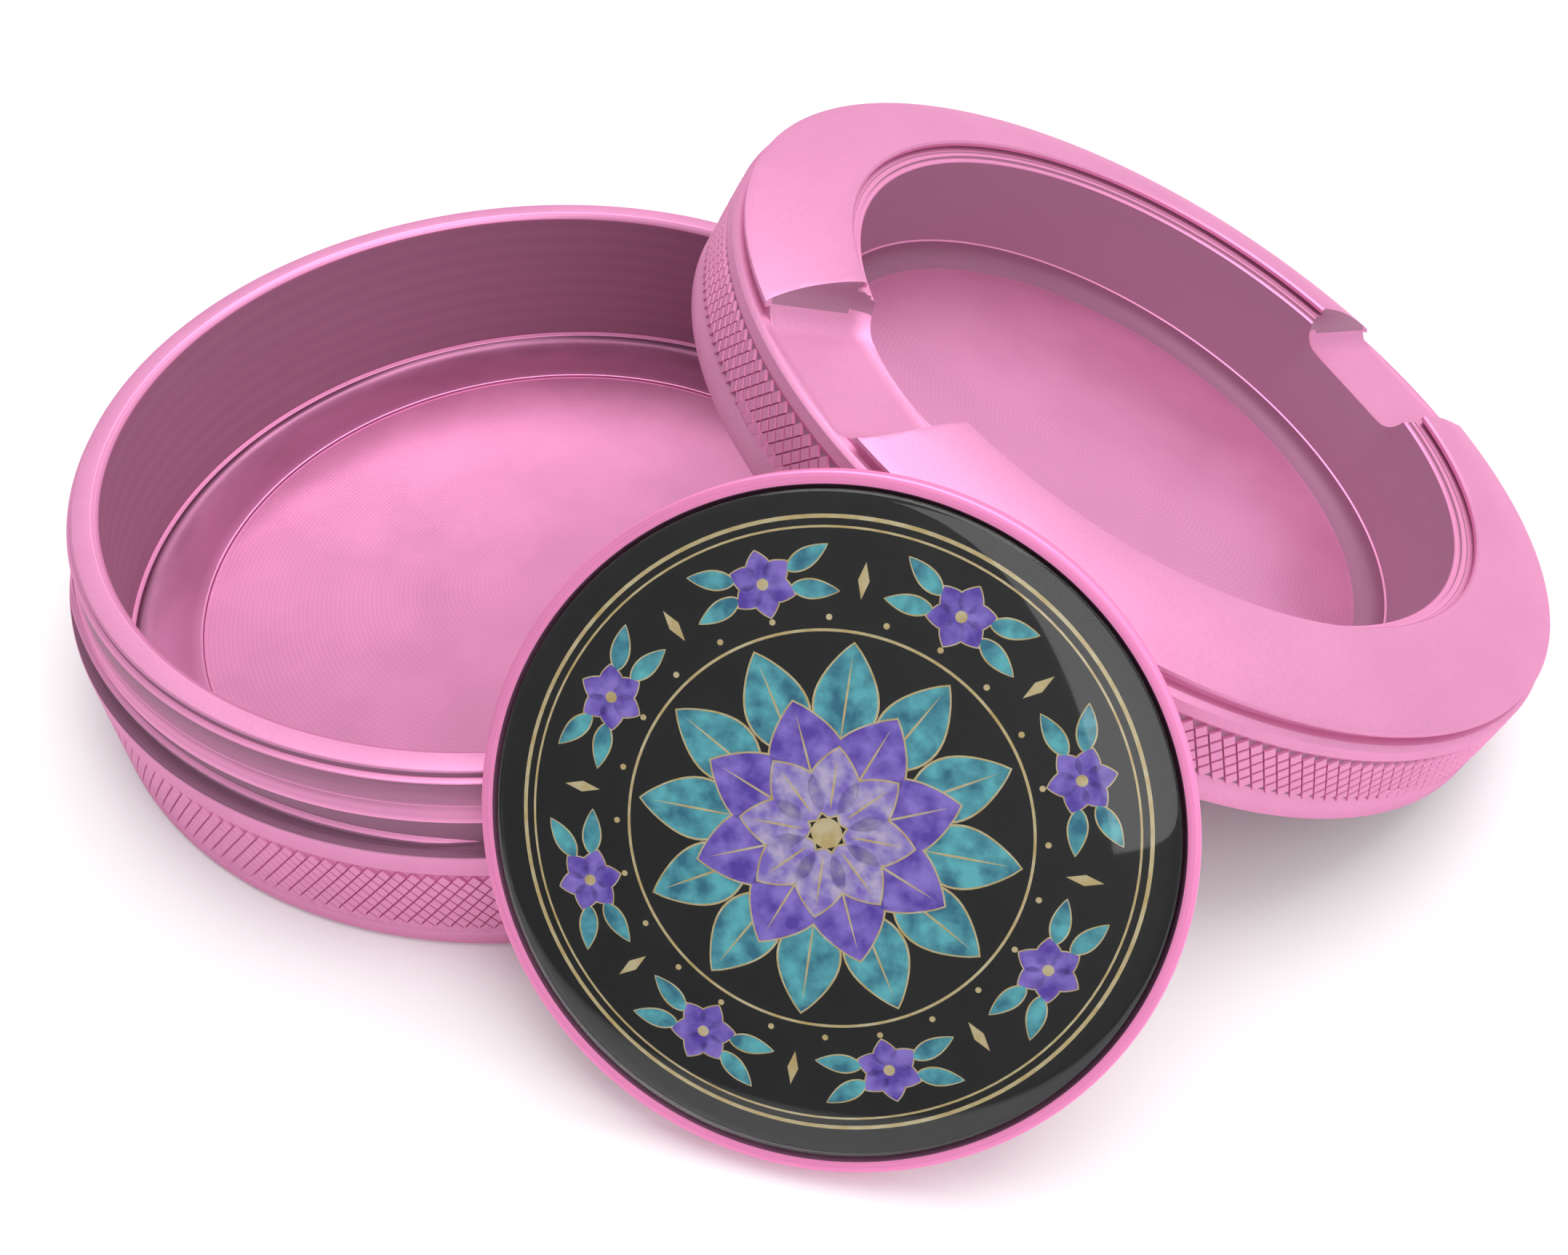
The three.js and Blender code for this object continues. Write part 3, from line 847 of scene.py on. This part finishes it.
def makePrint():
    d = disc
    low = -d["recessDepth"] + d["filmGap"]
    top = low + d["film"]
    film = turnSolid("artPrint", [(d["recess"] - d["clear"], low), (d["recess"] - d["clear"], top)], 128)
    coat(film, blackFilm)
    o = ornament
    gold, leaves, petals, hearts = [], [], [], []
    level = top + o["layer"]
    for kind, fills in (("leaf", leaves), ("petalLarge", petals), ("petalSmall", hearts)):
        s = o[kind]
        rim = flatShape("rim", petalPoints(s["inner"], s["reach"], s["width"], o["outline"]), level)
        gold += copiesRound(rim, s["count"], s["turn"])
        fill = flatShape("fill", petalPoints(s["inner"], s["reach"], s["width"]), level + o["layer"])
        fills += copiesRound(fill, s["count"], s["turn"])
        vein = flatShape("vein", petalPoints(s["inner"] + 0.5, s["reach"] - 0.8, 0.16),
                         level + 2 * o["layer"])
        gold += copiesRound(vein, s["count"], s["turn"])
        level += 3 * o["layer"]
    level = top + o["layer"]
    for radius, width in o["rings"]:
        gold.append(turnRing("ring", [(radius - width, level - 0.01), (radius + width, level - 0.01),
                                      (radius + width, level), (radius - width, level)], 128))
    s = o["dots"]
    circle = [(s["radius"] + s["size"] * math.cos(a * math.pi / 6), s["size"] * math.sin(a * math.pi / 6))
              for a in range(12)]
    gold += copiesRound(flatShape("dot", circle, level), s["count"], s["turn"])
    s = o["lozenges"]
    across, along = s["size"]
    lozenge = [(s["radius"] - along, 0), (s["radius"], -across),
               (s["radius"] + along, 0), (s["radius"], across)]
    gold += copiesRound(flatShape("lozenge", lozenge, level), s["count"], 0)
    addWreath(level, gold, petals, leaves)
    heart = [(1.1 * math.cos(a * math.pi / 12), 1.1 * math.sin(a * math.pi / 12)) for a in range(24)]
    gold.append(flatShape("heart", heart, top + 12 * o["layer"]))
    layers = [(join("foilLines", gold), goldFoil), (join("leafPrint", leaves), leafInk),
              (join("petalPrint", petals), petalInk), (join("heartPrint", hearts), heartInk)]
    settle(film, discFrame, "disc", "printed_film", "art_print")
    for piece, ink in layers:
        pick(piece)
        bpy.ops.object.transform_apply()
        bpy.ops.object.mode_set(mode="EDIT")
        bpy.ops.mesh.select_all(action="SELECT")
        bpy.ops.mesh.normals_make_consistent(inside=False)
        bpy.ops.object.mode_set(mode="OBJECT")
        coat(piece, ink)
        settle(piece, discFrame, "disc", "printed_film")


discFrame = discPlace(disc["thickness"])

blasted = {
    "bowl": blastedAluminium("bowlBlastedAluminium", bowlFrame, "#e69ac4", "#de93bc"),
    "knurl": blastedAluminium("knurledAluminium", bowlFrame, "#e69ac4", "#de93bc"),
    "tray": blastedAluminium("trayBlastedAluminium", trayFrame, "#e499c2", "#dc92bb", 0.47, 0.3, 0.02),
    "trayKnurl": blastedAluminium("trayKnurledAluminium", trayFrame, "#e69ac4", "#de93bc"),
}
# The brighter turned finish on up-facing ledges, bevels and ring lines is partly a real turned finish and
# partly painted highlight; the floors carry the real turned finish.
turned = {
    "bowl": turnedAluminium("bowlTurnedHighlightAluminium", bowlFrame, "#f3a0cd", "#e796c2", 0.42, metallic=0.5),
    "bowlFloor": turnedAluminium("bowlFloorAluminium", bowlFrame, "#e896c2", "#de8fba",
                                 0.3, 0.45, 0.003, 0.75, 0.85),
    "tray": turnedAluminium("trayTurnedHighlightAluminium", trayFrame, "#f3a0cd", "#e796c2", 0.42, metallic=0.5),
    "trayFloor": turnedAluminium("trayFloorAluminium", trayFrame, "#f0a4ce", "#e89cc7",
                                 0.33, 0.45, 0.003, 0.75, 0.75),
}
# Painted shade: dark copies of the turned metal for walls, bores, recesses and the undersides of ridges,
# standing in for the shade and dark reflections there.
paintedShadeMetal = {
    "bowl": turnedAluminium("bowlPaintedShadeAluminium", bowlFrame, "#a6768f", "#a0718b",
                            0.45, 0.3, 0.0012, 0.6, 0.05),
    "neck": turnedAluminium("neckPaintedShadeAluminium", bowlFrame, "#8c5f78", "#865a73",
                            0.5, 0.3, 0.0012, 0.6, 0.05),
    "tray": turnedAluminium("trayPaintedShadeAluminium", trayFrame, "#a6768f", "#a0718b",
                            0.45, 0.3, 0.0012, 0.6, 0.05),
    "disc": turnedAluminium("discPaintedShadeAluminium", discFrame, "#6b4459", "#5c3a4d",
                            0.4, 0.3, 0.003, 0.5, 0.2),
}
# Painted shade: the coves darken towards the wall above them, and the flare darkens towards the collar over
# it.
cove = {
    "bowl": paintedShadeGradient("bowlCovePaintedShade", bowlFrame, "#8f5e79", "#dc90bb", 2.6, 1.5),
    "tray": paintedShadeGradient("trayCovePaintedShade", trayFrame, "#8f6079", "#9c6b86", -9.6, -10.9, 0.5, 0.1),
}
flare = {
    "bowl": paintedShadeGradient("bowlFlarePaintedShade", bowlFrame, "#8d5f78", "#b97a9c", 19.3, 16.9, 0.45, 0.3),
}
discRing = turnedAluminium("discAluminium", discFrame, "#fb96ca", "#f590c5", 0.4, 0.3, 0.004, 0.5, 0.4)
silicone = mouldedPlastic("castSilicone", trayFrame, "#e9e6e1", "#dedad4", 0.6, 3.0, 0.01)
blackFilm = mouldedPlastic("blackVinylFilm", discFrame, "#0d0d0f", "#08080a", 0.45)
goldFoil = mouldedPlastic("goldFoil", discFrame, "#fff0c0", "#f2d48c", 0.35, 1.2, 0.004, Metallic=0.2)
leafInk = mouldedPlastic("tealInk", discFrame, "#74e0ea", "#3287a6", 0.5, 1.6)
petalInk = mouldedPlastic("violetInk", discFrame, "#ad93ff", "#6a49cf", 0.5, 1.6)
heartInk = mouldedPlastic("lilacInk", discFrame, "#e6d8ff", "#9a80ee", 0.5, 1.2)
clearResin, resinTree, resinShader = startMaterial(
    "clearCastResin", Base_Color=(1, 1, 1, 1), Roughness=0.03, IOR=1.5, Transmission_Weight=1.0)
print("finishes mixed")

makeBowl()
print("bowl turned, threaded and knurled")
makeTrayLid()
print("tray lid turned, notched and knurled")
makeGasket()
print("sealing ring laid in")
makeDiscCup()
makePrint()
makeClearDome()
print("inlay assembled")
